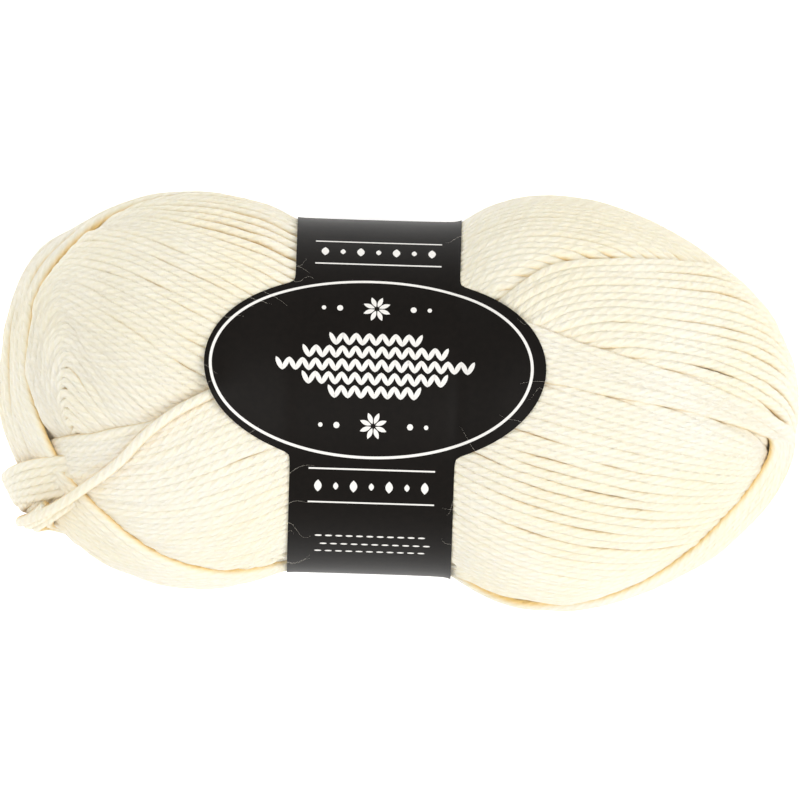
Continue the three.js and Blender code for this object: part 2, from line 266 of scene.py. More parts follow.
# Lobe, turns of yarn, heights of its top over the form along its first and its last strand, then
# [azimuth, latitude] along those two, with guides between them where it fans unevenly. Later
# windings and later turns lie over earlier ones.
WINDINGS = [
    ("left_under_fan", -1, 22, [[1.5, 1.5], [1.5, 1.5]],
     [[-30, 3], [-44, 16], [-60, 34], [-84, 52], [-130, 62], [170, 56], [150, 30], [140, 3]],
     [[-120, 3], [-128, 16], [-140, 34], [-160, 50], [170, 60], [120, 56], [92, 30], [80, 3]]),
    ("left_fan", -1, [8, 6, 4, 3, 3, 3, 3, 4, 14],
     [[2.2, 1.7, 1.9, 2.4, 2.0, 1.5, 1.5], [2.8, 2.6, 3.1, 4.3, 2.6, 1.5, 1.5]],
     [[-80, 3], [-68, 18], [-50, 34], [-34, 44], [-24, 51], [-19, 56], [-25, 58], [-36, 56], [-60, 51],
      [-100, 42], [-135, 24], [-148, 3]],
     [[-64, 3], [-50, 18], [-30, 33], [-12, 45], [3, 52.5], [12, 57.5], [7, 60], [-8, 60.5], [-40, 56],
      [-85, 46], [-130, 26], [-150, 3]],
     [[-30, 3], [-20, 18], [-7, 37], [3, 44], [13.5, 51.5], [27.5, 59], [22.5, 63], [10, 65], [-14, 62.5],
      [-60, 56], [-115, 34], [-152, 3]],
     [[-20, 3], [-11, 18], [-1.5, 32], [6, 39], [18, 49], [37, 60], [31.5, 64], [15, 66.5], [-12, 64],
      [-60, 58], [-118, 36], [-154, 3]],
     [[-10, 3], [-3, 18], [6, 32], [22, 45.5], [45.5, 60], [41, 65], [22, 68], [-8, 66], [-60, 60],
      [-120, 38], [-156, 3]],
     [[-2, 3], [5, 18], [14, 31], [28, 43.5], [49.5, 59], [51, 65], [34, 69], [-8, 68], [-60, 62],
      [-122, 40], [-158, 3]],
     [[6, 3], [13, 18], [30.5, 38.5], [42, 48], [61, 60.5], [61, 66.5], [42, 71], [-8, 70], [-60, 64],
      [-124, 42], [-160, 3]],
     [[16, 3], [22, 18], [36.5, 35.5], [50, 46], [75.5, 61], [72, 67], [52, 72], [-8, 72], [-60, 66],
      [-126, 44], [-162, 3]],
     [[28, 3], [35, 18], [42, 28], [57.5, 42], [75.5, 52], [85, 61], [78, 69], [50, 75], [-60, 70],
      [-130, 46], [-165, 3]],
     [[102, 3], [98, 20], [96, 34], [94, 48], [92, 62], [84, 71], [40, 78], [-60, 74], [-135, 48], [-170, 3]]),
    ("lower_left_fan", -1, 29, [[2.0, 1.9, 2.2, 1.9, 1.9], [2.9, 2.1, 2.1, 1.9, 1.9]],
     [[14, 3], [0, 28], [-8, 36.5], [-14, 45.5], [-25, 60], [-48, 72], [-130, 80], [155, 45], [120, 3]],
     [[-62, 3], [-64, 14], [-67, 28], [-70, 44], [-84, 60], [-125, 62], [-160, 36], [-165, 3]]),
    ("left_bundle", -1, 13,
     [[2.0, 2.3, 3.2, 5.8, 3.1, 2.8, 2.4, 2.0, 1.6], [2.0, 2.3, 2.9, 3.2, 2.3, 2.2, 2.4, 2.0, 1.6]],
     [[140, 3], [124, 24], [104, 46], [88, 70], [10, 84], [-64, 66], [-82, 42], [-100, 22], [-120, 3]],
     [[104, 3], [96, 20], [82, 44], [79, 53], [70, 61.5], [56, 68], [34, 70], [10, 71], [-15, 67],
      [-32, 61.5], [-46, 49], [-60, 36.5], [-78, 17], [-90, 3]]),
    ("right_back_fan", 1, 24, [[1.5, 1.5], [1.5, 1.5]],
     [[96, -2], [98, 20], [104, 40], [118, 60], [170, 76], [-110, 66], [-96, 40], [-92, -2]],
     [[170, -2], [172, 20], [176, 40], [-175, 58], [-150, 64], [-130, 56], [-116, 30], [-108, -2]]),
    ("upper_right_fan", 1, 24, [[2.6, 1.7, 1.5, 1.5], [2.4, 1.7, 1.5, 1.5]],
     [[90, -2], [90, 14], [92, 30], [96, 46], [104, 62], [130, 72], [150, 40], [160, 3]],
     [[22, -2], [33, 14], [30, 30], [24, 44], [10, 60], [-60, 80], [-175, 50], [-178, 3]]),
    ("right_arches", 1, 18, [[1.9, 1.9, 2.7, 1.9], [1.9, 1.9]],
     [[14, 0], [31, 14], [42, 22], [48, 32.5], [56.5, 41.5], [66, 48], [80, 56], [100, 64], [150, 72],
      [-150, 60], [-140, 34], [-140, 3]],
     [[-22, 0], [2, 22], [3, 34], [1, 46], [-6, 56], [-20, 65], [-44, 71], [-72, 72], [-96, 68], [-108, 56],
      [-112, 34], [-125, 3]]),
    ("lower_right_fan", 1, 34, [[1.6, 1.6], [2.0, 1.6, 1.6]],
     [[28, -2], [16, 16], [8, 34], [0, 50], [-12, 62], [-34, 71], [-90, 74], [-130, 40], [-150, 3]],
     [[-58, -2], [-70, 14], [-84, 30], [-98, 46], [-116, 60], [-150, 58], [-170, 30], [-180, 3]]),
    ("right_bundle", 1, 7, [[1.7, 1.7, 1.9, 2.3, 2.4, 2.2, 1.8], [1.7, 2.0, 2.5, 3.0, 2.6, 2.4, 1.8]],
     [[10, 3], [6, 21.5], [3, 32], [0, 45], [-5, 57], [-12, 67], [-22, 72.5], [-36, 71.5], [-44, 66.5],
      [-52, 59.5], [-62, 51.5], [-73, 42], [-86, 26], [-100, 3]],
     [[38, 3], [22, 19.5], [15, 31], [10, 45], [4, 58], [-8, 70], [-32, 79], [-62, 79], [-76, 74], [-81, 66],
      [-85, 56], [-89, 44], [-98, 28], [-112, 3]]),
]
# Turns wound before those, which run from the waist and spiral round each end: lobe, turns,
# top, and one turn's path.
SPIRAL = [[14, 26], [40, 46], [84, 62], [150, 74], [250, 83], [380, 88.5]]
INNER_TURNS = [
    ("left_inner_turns", -1, 98, [[0.5], [0.5]], [[0, 3], *SPIRAL]),
    ("right_inner_turns", 1, 98, [[0.5], [0.5]], [[0, -2], *SPIRAL]),
]
SETTLE_STEP = 0.45                  # spacing of the points that are pressed into place
TUBE_EVERY = 3                      # how many of those to one ring of the tube
TUBE_SIDES = 10
CROSSWAYS = np.linspace(-1, 1, 9)   # places across a strand where it rests on others
COVERED = 2.6                       # strands over a point that hide it
MAP_CELLS = 360                     # to each side of a lobe's map
MAP_REACH = 1.1
rng = np.random.default_rng(50)
# For each lobe, the height that is still free under the windings laid so far, and their number.
ceilings = {side: np.full((MAP_CELLS, MAP_CELLS), np.inf) for side in (-1, 1)}
covers = {side: np.zeros((MAP_CELLS, MAP_CELLS), int) for side in (-1, 1)}


def route_through(points, samples):
    """Centripetal Catmull-Rom curve: knots at sums of the root of |step|, cubic pieces between them.

    The same number of samples goes to every piece.
    """
    gaps = np.linalg.norm(np.diff(points, axis=0), axis=1) ** 0.5
    padded = np.vstack([2 * points[0] - points[1], points, 2 * points[-1] - points[-2]])
    spans = np.r_[gaps[0], gaps, gaps[-1]][:, None]
    steps = np.diff(padded, axis=0)
    whole = spans[:-1] + spans[1:]
    slopes = steps[:-1] / spans[:-1] - (padded[2:] - padded[:-2]) / whole + steps[1:] / spans[1:]
    place = np.linspace(0, len(points) - 1, samples)
    i = np.minimum(place.astype(int), len(points) - 2)
    t = (place - i)[:, None]
    width = gaps[i][:, None]
    return (points[i] * (1 + 2 * t) * (1 - t) ** 2 + points[i + 1] * t * t * (3 - 2 * t)
            + width * t * (1 - t) * ((1 - t) * slopes[i] - t * slopes[i + 1]))


def strand_directions(side, pairs):
    """Directions along a strand through [azimuth, latitude] pairs."""
    azimuth, latitude = np.array(pairs, float).T
    return unit(route_through(direction_of(side, azimuth, latitude), 400))


def paper_half_width(angle):
    """The medallion's half-ellipse where it is wider, else the band, rounded where they meet."""
    fraction = (angle - MEDALLION["middle"]) / MEDALLION["half_angle"]
    oval = MEDALLION["half_length"] * np.sqrt(np.clip(1 - fraction ** 2, 0, 1))
    return (BAND["half_width"] + oval + np.hypot(BAND["half_width"] - oval, MEDALLION["corner"])) / 2


def paper_inside(x):
    """The card's form: a straight tube that rides up on the lobes, less so where the band is tight.

    It is the rounded larger of the tube's half-width and the wool's, and the wool stands 0.3 mm
    proud up to 11 mm from the band's middle, rising to 1.3 mm over the next 15.
    """
    proud = 0.3 + eased(np.clip((np.abs(x - BAND["centre"]) - 11) / 15, 0, 1))
    wool_width = fullness_at(x) * np.sqrt(np.clip(1 - (x / HALF_LENGTH) ** 2, 0, 1)) + proud
    return (wool_width + BAND["inside"] + np.hypot(wool_width - BAND["inside"], BAND["blend"])) / 2


def beyond_paper(x, direction):
    """Distance along the ball from the card's cut edge, less than nothing under the card."""
    angle = np.degrees(np.arctan2(direction[..., 1], direction[..., 2]))
    angle = angle * (1 + wing_share(angle) * (paper_inside(x) / BAND["inside"] - 1))
    return np.abs(x - BAND["centre"]) - paper_half_width(angle)


def wing_share(angle):
    """1 near the top, where the card can have wings, falling to 0 further round."""
    return np.clip((WINGS_TO - np.abs(angle)) / (WINGS_TO - WINGS_FROM), 0, 1)


def top_at(direction, rise):
    """Height that a winding's outside may reach: its rise, less the pull holes' depth.

    Under the card it is held 0.1 mm below the inner face, and it comes free over 2.6 mm from the
    cut edge. At the ground it may press 0.3 mm into the table, measured along the normal, and a
    normal that points less than 0.4 downwards isn't held by the table.
    """
    point, normal = form_and_normal(direction)
    free = eased(np.clip((beyond_paper(point[..., 0], direction) - 0.2) / 2.6, 0, 1))
    across = np.sqrt(np.clip(1 - direction[..., 0] ** 2, 0, 1)) * fullness_at(point[..., 0])
    held = np.clip(paper_inside(point[..., 0]) + CARD_LIFT - 0.1 - across, 0.2, 1.9)
    top = np.minimum(rise, held) * (1 - free) + rise * free - hole_depth(direction)
    down = np.maximum(-normal[..., 2], 0.05)
    return np.minimum(top, point[..., 2] / down + 0.3 + 20 * np.clip(0.4 - down, 0, 1))


def map_cell(side, direction):
    """Number of the cell on a lobe's equal-area map: (y, z) / sqrt(1 + side x), to MAP_REACH each way."""
    root = np.sqrt(np.maximum(1 + side * direction[..., 0], 0.2))
    place = direction[..., 1:] / root[..., None]
    cell = np.clip(((place + MAP_REACH) / (2 * MAP_REACH) * MAP_CELLS).astype(int), 0, MAP_CELLS - 1)
    return cell[..., 0] * MAP_CELLS + cell[..., 1]


def slow_noise(count, spacing):
    """Smooth random numbers about 0, one per point, that change over `spacing` points."""
    knots = rng.normal(0, 1, int(count / spacing) + 4)
    place = np.arange(count) / spacing + rng.random()
    i = place.astype(int)
    t = eased(place - i)
    return knots[i] * (1 - t) + knots[i + 1] * t


def averaged(values, reach):
    """Each value's mean over `reach` neighbours on both sides."""
    padded = np.pad(values, [(reach, reach)] + [(0, 0)] * (values.ndim - 1), mode="edge")
    total = np.cumsum(np.concatenate([np.zeros_like(padded[:1]), padded]), axis=0)
    return (total[2 * reach + 1:] - total[:-2 * reach - 1]) / (2 * reach + 1)


def along_line(points):
    """Distance along a line at each of its points: running sum of |step|."""
    return np.r_[0, np.cumsum(np.linalg.norm(np.diff(points, axis=0), axis=1))]


def across_line(points, normals):
    """Unit vectors square to a line and in the surface under it: tangent x normal."""
    return unit(np.cross(unit(np.gradient(points, axis=0)), normals))


def strayed(directions):
    """The same strand in steps of SETTLE_STEP, strayed a little to its sides: directions, points, normals."""
    along = along_line(form_and_normal(directions)[0])
    count = int(along[-1] / SETTLE_STEP)
    even = np.linspace(0, along[-1], count)
    directions = unit(np.stack([np.interp(even, along, directions[:, k]) for k in range(3)], axis=1))
    point, normal = form_and_normal(directions)
    sway = WANDER * slow_noise(count, 24) + 0.4 * WANDER * slow_noise(count, 8)
    directions = direction_at(point + across_line(point, normal) * sway[:, None])
    return directions, *form_and_normal(directions)


def lay_strand(side, directions, rise, crowd):
    """Settles one strand under whatever lies over it.

    Its middle goes no higher than its winding's top, less its radius, and than the lowest of
    (ceiling - own half-section) across its width, the ceiling being the underside of the
    windings over it. Turns of its own winding crowd together: each goes a little lower where
    their middles nearly meet. Gives its middle line and normals, how many strands cover each
    point, and its cells on the map with its underside there.
    """
    directions, point, normal = strayed(directions)
    count = len(point)
    reach = CROSSWAYS * PRESSED_RADIUS
    drop = np.sqrt(PRESSED_RADIUS ** 2 - reach ** 2)
    beside = point[:, None] + across_line(point, normal)[:, None] * reach[:, None]
    cells = map_cell(side, direction_at(beside))
    cover = covers[side].ravel()
    above = cover[cells].mean(axis=1)
    rises = np.interp(np.linspace(0, 1, count), np.linspace(0, 1, len(rise)), rise)
    ceiling = (ceilings[side].ravel()[cells] - drop).min(axis=1)
    level = np.minimum(ceiling, top_at(directions, rises) - YARN_RADIUS)
    # It is too stiff to drop at once, so it is down three points before and after it has to be.
    near = np.pad(level, 3, mode="edge")
    level = np.min([near[k:k + count] for k in range(7)], axis=0)
    core = cells[:, 2:-2]
    crowded = crowd.ravel()[core].min(axis=1) - CROWDING
    level = np.minimum(level, np.maximum(crowded, level - MOST_CROWDING))
    level = averaged(averaged(level, 4), 3) + 0.07 * slow_noise(count, 18)
    level = np.maximum(level, DEEPEST)
    np.minimum.at(crowd.ravel(), core.ravel(), np.repeat(level, core.shape[1]))
    cover[np.unique(cells)] += 1
    return point + normal * level[:, None], normal, above, cells, level[:, None] - drop


def tube(middle, normal, radius, phase, wide=1.0):
    """Rings round a middle line: ring point = middle + radius (wide across cos a + outward sin a).

    Also gives each point's lay: the cosine and sine of its angle in the turning plies, the
    distance along the strand, which a phase of 0 to 1 shifts, and how far it faces out of the ball.
    """
    forward = unit(np.gradient(middle, axis=0))
    across = unit(np.cross(forward, normal))
    outward = np.cross(across, forward)
    angle = np.arange(TUBE_SIDES) * 2 * np.pi / TUBE_SIDES
    ring = wide * across[:, None] * np.cos(angle)[:, None] + outward[:, None] * np.sin(angle)[:, None]
    along = along_line(middle) + 40 * phase
    turned = angle - 2 * np.pi * along[:, None] / PLY_PITCH
    lay = np.stack(np.broadcast_arrays(np.cos(turned), np.sin(turned), along[:, None], np.sin(angle)), axis=-1)
    return middle[:, None] + ring[:, ::-1] * radius[:, None, None], lay[:, ::-1]


def joined(*parts):
    """Several parts' points, quads and triangles as one mesh's, each numbered on from the last."""
    points, quads, triangles = zip(*parts)
    starts = np.cumsum([0, *map(len, points)])
    return (np.concatenate(points), np.concatenate([q + start for q, start in zip(quads, starts)]),
            np.concatenate([t + start for t, start in zip(triangles, starts)]))


def yarn_piece(name, runs, material):
    """One mesh of closed tubes, with their lay kept for the plies and fibres."""
    piece = make_mesh(name, *joined(*(closed_grids(rings[None]) for rings, _ in runs)), [material])
    lays = [np.concatenate([lay.reshape(-1, 4), lay[[0, -1]].mean(axis=1)]) for _, lay in runs]
    lays = np.concatenate(lays).astype(np.float32)
    lay = piece.data.attributes.new("lay", "FLOAT_VECTOR", "POINT")
    lay.data.foreach_set("vector", lays[:, :3].ravel())
    outward = piece.data.attributes.new("outward", "FLOAT", "POINT")
    outward.data.foreach_set("value", np.ascontiguousarray(lays[:, 3]))
    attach(piece, "root")
    return piece


def worsted_wool():
    """Worsted-spun wool: matt with a soft sheen, and four plies that turn, with fibres along them."""
    material, shader = new_material(
        "cream_worsted_wool", Roughness=0.92, Sheen_Weight=0.2, Sheen_Roughness=0.45,
        Specular_IOR_Level=0.25, Subsurface_Weight=0.15, Subsurface_Radius=(1.0, 0.8, 0.5),
        Subsurface_Scale=0.001)
    lay = add(material, "ShaderNodeAttribute", attribute_name="lay").outputs["Vector"]
    part = add(material, "ShaderNodeSeparateXYZ", {"Vector": lay}).outputs
    angle = add(material, "ShaderNodeMath", {0: part["Y"], 1: part["X"]}, operation="ARCTAN2").outputs[0]
    plies = add(material, "ShaderNodeMath", {0: angle, 1: PLIES}, operation="MULTIPLY").outputs[0]
    plies = add(material, "ShaderNodeMath", {0: plies}, operation="COSINE").outputs[0]
    # 0.1 mm fibres, drawn four times as coarse as they are so that they show.
    stretched = add(material, "ShaderNodeMapping", {"Vector": lay, "Scale": (3.5, 3.5, 0.7)}).outputs["Vector"]
    fibres = add(material, "ShaderNodeTexNoise",
                 {"Vector": stretched, "Scale": 1.0, "Detail": 3.0, "Roughness": 0.65}).outputs["Fac"]
    place = add(material, "ShaderNodeTexCoord").outputs["Object"]
    patches = add(material, "ShaderNodeTexNoise", {"Vector": place, "Scale": 45.0, "Detail": 2.0})
    height = add(material, "ShaderNodeMath", {0: plies, 1: 0.22, 2: fibres},
                 operation="MULTIPLY_ADD").outputs[0]
    bump = add(material, "ShaderNodeBump", {"Height": height, "Strength": 1.0, "Distance": 0.00034})
    # Painted shade: the yarn's colour is darker where the plies dip, in the grooves between them, and it also
    # varies with the fibres' own tone.
    ply_shade = add(material, "ShaderNodeMapRange",
                    {"Value": height, "From Min": -0.2, "From Max": 1.0}).outputs["Result"]
    yarn = add(material, "ShaderNodeValToRGB", {"Fac": ply_shade}, ("#f7eed4", "#fffaec"))
    # Painted shade and bounce light: the strands' sides and undersides are painted darker and warmer, for
    # light passed from strand to strand and shade between them.
    outward = add(material, "ShaderNodeAttribute", attribute_name="outward").outputs["Fac"]
    faces = add(material, "ShaderNodeMapRange",
                {"Value": outward, "From Min": -0.5, "From Max": 0.7}, interpolation_type="SMOOTHSTEP")
    painted_side_shade = add(material, "ShaderNodeValToRGB", {"Fac": faces.outputs["Result"]}, ("#ffe2a8", "#ffffff"))
    aged = add(material, "ShaderNodeValToRGB", {"Fac": patches.outputs["Fac"]}, ("#fdfbf4", "#ffffff"))
    aged.color_ramp.elements[0].position, aged.color_ramp.elements[1].position = 0.35, 0.65
    colour = yarn.outputs["Color"]
    for tint in (aged, painted_side_shade):
        colour = add(material, "ShaderNodeMix", {"Factor": 1.0, 6: colour, 7: tint.outputs["Color"]},
                     data_type="RGBA", blend_type="MULTIPLY").outputs[2]
    feed(shader, {"Base Color": colour, "Normal": bump.outputs["Normal"]})
    return material


def visible_runs(above):
    """Starts and ends of the stretches that aren't covered, widened by five points, six at least."""
    shown = averaged((above < COVERED).astype(float), 5) > 0
    edges = np.flatnonzero(np.diff(np.r_[False, shown, False].astype(int)))
    return [(a, b) for a, b in edges.reshape(-1, 2) if b - a > 6]


def paths_of(side, turns, guides):
    """Directions of each turn and its share of the winding, last turn first.

    Turns lie evenly between guide strands, or one guide is spun round the ball.
    """
    if len(guides) == 1:
        for turn in np.arange(turns)[::-1]:
            spin = 360 * (turn + rng.uniform(-WINDER_ERROR, WINDER_ERROR)) / turns
            yield strand_directions(side, [[azimuth + spin, latitude] for azimuth, latitude in guides[0]]), 0.5
        return
    lines = [strand_directions(side, guide) for guide in guides]
    between = np.atleast_1d(turns)
    for k in range(len(between))[::-1]:
        for turn in range(between[k])[::-1]:
            share = (turn + 0.5 + rng.uniform(-WINDER_ERROR, WINDER_ERROR)) / between[k]
            yield unit(lines[k] * (1 - share) + lines[k + 1] * share), (k + share) / len(between)


def rise_between(rises, share):
    """Heights along one turn: both rows spread to 25 places, then (1 - share) first + share last."""
    first, last = [np.interp(np.linspace(0, 1, 25), np.linspace(0, 1, len(row)), row) for row in rises]
    return first * (1 - share) + last * share


wool = worsted_wool()
# Points, normals and directions of the strands that lie bare, where fibres can stand off them.
outer_places = []
for name, side, turns, rises, *guides in WINDINGS[::-1] + INNER_TURNS:
    crowd = np.full((MAP_CELLS, MAP_CELLS), np.inf)
    runs, undersides = [], []
    for directions, share in paths_of(side, turns, guides):
        rise = rise_between(rises, share)
        middle, normal, above, cells, underside = lay_strand(side, directions, rise, crowd)
        undersides.append((cells.ravel(), underside.ravel()))
        count = len(middle)
        radius = YARN_RADIUS * (1 + 0.05 * slow_noise(count, 12) + 0.03 * slow_noise(count, 4))
        phase = rng.random()
        for a, b in visible_runs(above):
            ring = np.unique(np.r_[np.arange(a, b, TUBE_EVERY), b - 1])
            runs.append(tube(middle[ring], normal[ring], radius[ring], phase, PRESSED_WIDE))
        places = np.stack([middle, normal, unit(np.gradient(middle, axis=0))], axis=1)
        outer_places.append(places[above < 0.3])
    for cells, underside in undersides:
        np.minimum.at(ceilings[side].ravel(), cells, underside)
    yarn_piece(name, runs, wool)
outer_places = np.concatenate(outer_places)

# ------------------------------------------------
# The folds: three short groups of turns of the same yarn at the lower left, which slipped out
# as the ball came off the winder. They come up between turns of the bundle and turn under.
# ------------------------------------------------
# Strands, then azimuth, latitude and lift over the form along the first and the last of them.
FOLDS = [
    (5, [[-31, 56, -0.8], [-34, 60.5, 1.4], [-40, 65, 3.9], [-60, 70, 5.0], [-80, 70.5, 4.0], [-98, 66, 1.8],
         [-108, 60, 0.5]],
     [[-40, 52, -0.8], [-46, 57, 1.4], [-56, 62.5, 4.0], [-76, 67, 4.7], [-92, 65.5, 3.6], [-104, 60, 1.6],
      [-112, 54, 0.5]]),
    (3, [[-50, 58, 5.0], [-60, 60.2, 6.2], [-68, 62, 6.7], [-80, 63.4, 6.2], [-89, 63.4, 4.8], [-96, 62, 3.0],
         [-102, 59, 0.8]],
     [[-46, 54, 1.6], [-56, 57, 3.6], [-68, 59.6, 4.8], [-80, 60.8, 4.6], [-90, 60.5, 3.4], [-97, 59, 2.2],
      [-102, 55, 0.6]]),
    (4, [[-50, 61, 1.6], [-64, 64, 4.0], [-80, 65.5, 4.2], [-94, 64, 2.8], [-102, 59, 0.5]],
     [[-48, 55, 1.0], [-62, 58.5, 2.4], [-78, 60, 2.6], [-92, 59, 1.6], [-102, 54, 0.5]]),
]
fold_runs = []
for count, first, last in FOLDS:
    for share in np.linspace(0, 1, count):
        azimuth, latitude, lifted = (np.array(first) * (1 - share) + np.array(last) * share).T
        form, normal = form_and_normal(direction_of(-1, azimuth, latitude))
        middle = route_through(form + normal * lifted[:, None], 60)
        normal = form_and_normal(direction_at(middle))[1]
        radius = YARN_RADIUS * (1 + 0.04 * slow_noise(len(middle), 10))
        fold_runs.append(tube(middle, normal, radius, rng.random()))
yarn_piece("left_folds", fold_runs, wool)

# ------------------------------------------------
# The loose end: the same yarn's outer end, which comes out of the lower left folds, crosses
# the bundle and is tucked under the band's medallion.
# ------------------------------------------------
# Azimuth, latitude and lift over the ball's form, to the card's edge and then under it.
LOOSE_END = [
    [-68, 62, 6.7], [-53, 58, 5.8], [-44, 54.5, 5.2], [-36, 51, 4.1],
    [-23, 44, 2.9], [-13, 39, 2.9], [-6, 34, 2.8], [-2, 30, 2.4],
]
TUCKED_UNDER = [[0.5, 27.4, 1.7], [3.5, 24.0, 0.9]]
azimuth, latitude, lifted = np.array(LOOSE_END + TUCKED_UNDER).T
form, normal = form_and_normal(direction_of(-1, azimuth, latitude))
middle = route_through(form + normal * lifted[:, None], 80)
normal = form_and_normal(direction_at(middle))[1]
radius = np.full(len(middle), YARN_RADIUS)
loose_end = yarn_piece("loose_yarn_end", [tube(middle, normal, radius, 0.3)], wool)
in_metres = (middle + CENTRING) * 0.001
centre_line = in_metres[::2]
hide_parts("loose_end")
tuple(centre_line[0])
[tuple(point) for point in centre_line]

# ------------------------------------------------
# The paper band: 0.3 mm black coated card, die-cut with an oval medallion, wrapped round the
# waist and glued to itself underneath. Its cut edges show the lighter middle of the card.
# ------------------------------------------------
SEAM_ANGLE = 172.0                  # from the top, where the card starts
OVERLAP = 12.0                      # degrees of lap, glued over that start
YARN_LIFTS = dict(height=1.4, x=-33.5, along=4.0, around=4.5)   # the medallion, over the loose end
ROUND_RADIUS = 31.0                 # of the card, which turns millimetres round it into angles


def on_paper(x, angle, lift):
    """Point of the flat-cut card at x and an angle round the band, `lift` outside the card's form.

    A distance round the card keeps its length, so where the wings ride up on the wider lobes its
    angle is less, by the band's radius over the radius there. Where the loose end goes under, the
    card bulges by height exp(-(distance / reach) squared).
    """
    inside = paper_inside(x)
    round_top = (angle + 180) % 360 - 180
    arc = round_top * ROUND_RADIUS * np.pi / 180
    along, around = (x - YARN_LIFTS["x"]) / YARN_LIFTS["along"], arc / YARN_LIFTS["around"]
    lift = lift + YARN_LIFTS["height"] * np.exp(-along ** 2 - around ** 2)
    turn = np.radians(angle - round_top * wing_share(round_top) * (1 - BAND["inside"] / inside))
    return np.stack([
        x + 0 * turn, (inside + lift) * np.sin(turn),
        (inside * flatness_at(x) + lift) * np.cos(turn) + AXIS_HEIGHT,
    ], axis=-1)


def coated_card():
    """Black coated card: an even ink film with a low satin gloss, and the board's faint mottle."""
    material, shader = new_material("black_coated_card", Roughness=0.45, Specular_IOR_Level=0.08)
    place = add(material, "ShaderNodeTexCoord").outputs["Object"]
    mottle = add(material, "ShaderNodeTexNoise",
                 {"Vector": place, "Scale": 900.0, "Detail": 3.0, "Roughness": 0.6}).outputs["Fac"]
    cloud = add(material, "ShaderNodeTexNoise", {"Vector": place, "Scale": 60.0, "Detail": 2.0}).outputs["Fac"]
    ink = add(material, "ShaderNodeValToRGB", {"Fac": mottle}, ("#0f0d0b", "#1a1613"))
    gloss = add(material, "ShaderNodeMapRange",
                {"Value": cloud, "To Min": 0.38, "To Max": 0.5}).outputs["Result"]
    bump = add(material, "ShaderNodeBump", {"Height": mottle, "Strength": 0.15, "Distance": 0.00005})
    feed(shader, {"Base Color": ink.outputs["Color"], "Roughness": gloss, "Normal": bump.outputs["Normal"]})
    return material


def speckled(name, colours, scale, detail, **inputs):
    """A plain finish that varies between two colours by a noise with `scale` waves to the metre."""
    material, shader = new_material(name, **inputs)
    place = add(material, "ShaderNodeTexCoord").outputs["Object"]
    speckle = add(material, "ShaderNodeTexNoise", {"Vector": place, "Scale": scale, "Detail": detail})
    colour = add(material, "ShaderNodeValToRGB", {"Fac": speckle.outputs["Fac"]}, colours)
    feed(shader, {"Base Color": colour.outputs["Color"]})
    return material


# Once round from the seam to the end of the lap, in smaller steps along the medallion's edge.
fine = MEDALLION["middle"] + 360 + np.arange(-40, 40.1, 1.0)
angles = np.unique(np.r_[np.arange(SEAM_ANGLE, fine[0], 3.0), fine,
                         np.arange(fine[-1], SEAM_ANGLE + 360 + OVERLAP, 3.0)])
half_widths = paper_half_width((angles + 180) % 360 - 180)
x_grid = BAND["centre"] + half_widths[:, None] * np.linspace(-1, 1, 97)
# The lap rises over the card's own thickness in the four degrees before the seam.
over_seam = np.clip((angles - SEAM_ANGLE - 360 + 4) / 4, 0, 1)[:, None]
lift = CARD_LIFT + 1.1 * CARD_THICKNESS * over_seam
outside = on_paper(x_grid, angles[:, None], lift + CARD_THICKNESS)
inside = on_paper(x_grid, angles[:, None], lift)
skins = np.concatenate([outside, inside[:, ::-1]], axis=1)
rows, columns = skins.shape[:2]
row, column = np.meshgrid(np.arange(rows - 1), np.arange(columns), indexing="ij")
beside = (column + 1) % columns
band_quads = np.stack([
    row * columns + beside, (row + 1) * columns + beside,
    (row + 1) * columns + column, row * columns + column], axis=-1).reshape(-1, 4)
half = columns // 2
k = np.arange(half - 1)
start_end = np.stack([k, k + 1, columns - 2 - k, columns - 1 - k], axis=1)
finish_end = start_end[:, ::-1] + (rows - 1) * columns
# The card's cut edge: bare uncoated fibre, greyed by the ink at its corners.
card_edge = speckled("cut_card_edge", ("#8f897f", "#dcd6c9"), 1500.0, 2.0, Roughness=0.9)
paper = make_mesh(
    "card_band", skins.reshape(-1, 3), np.concatenate([band_quads, start_end, finish_end]),
    materials=[coated_card(), card_edge])
cut = np.ones(len(paper.data.polygons), np.int32)
cut[:len(band_quads)] = (column.ravel() == half - 1) | (column.ravel() == columns - 1)
paper.data.polygons.foreach_set("material_index", cut)
paper.data.set_sharp_from_angle(angle=0.7)
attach(paper, "root")
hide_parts("paper_band")

# ------------------------------------------------
# The print on the band: white ink, in an oval keyline, a knitted lozenge between two stars,
# and plain rows of diamonds and dashes above and below.
# ------------------------------------------------
INK_FACE = CARD_LIFT + CARD_THICKNESS
INK_HEIGHT = 0.03
INK_DEPTH = 0.04                    # how far it goes into the card, so that no gap shows
KEYLINE = dict(middle=-0.66, half_length=27.96, half_angle=30.2, width=0.5)
# The lozenge is knitted in rows of stitches, each a V of two leaning marks.
STITCH = dict(across=2.3, down=2.35, apart=0.58, length=2.6, width=0.86, lean=27.0)
STITCHES_IN_ROW = {-2: 7, -1: 11, 0: 15, 1: 11, 2: 7}
# Places are in millimetres along the ball and round the card from the medallion's middle.
STAR = dict(around=(-10.6, 10.6), petals=8, reach=1.45, length=2.1, width=0.8)
STAR_DOTS = {-9.2: 0.8, -6.4: 1.1, 6.4: 1.1, 9.2: 0.8}      # place along and size
DIAMONDS = dict(around=(24.0, -22.0), apart=3.1, sizes=((1.5, 0.9), (2.4, 1.3)))
DASHES = dict(rows=((-33.6, 0.0), (-36.0, 0.9), (-38.4, 0.0)), apart=1.8, length=1.25, width=0.42)
RULES = dict(around=(20.6, 27.2, -18.6, -25.4), length=22.0, width=0.3)
POINTED, LEAF, ROUND, SQUARE = 1.0, 0.7, 0.5, 0.0           # how blunt a mark's ends are


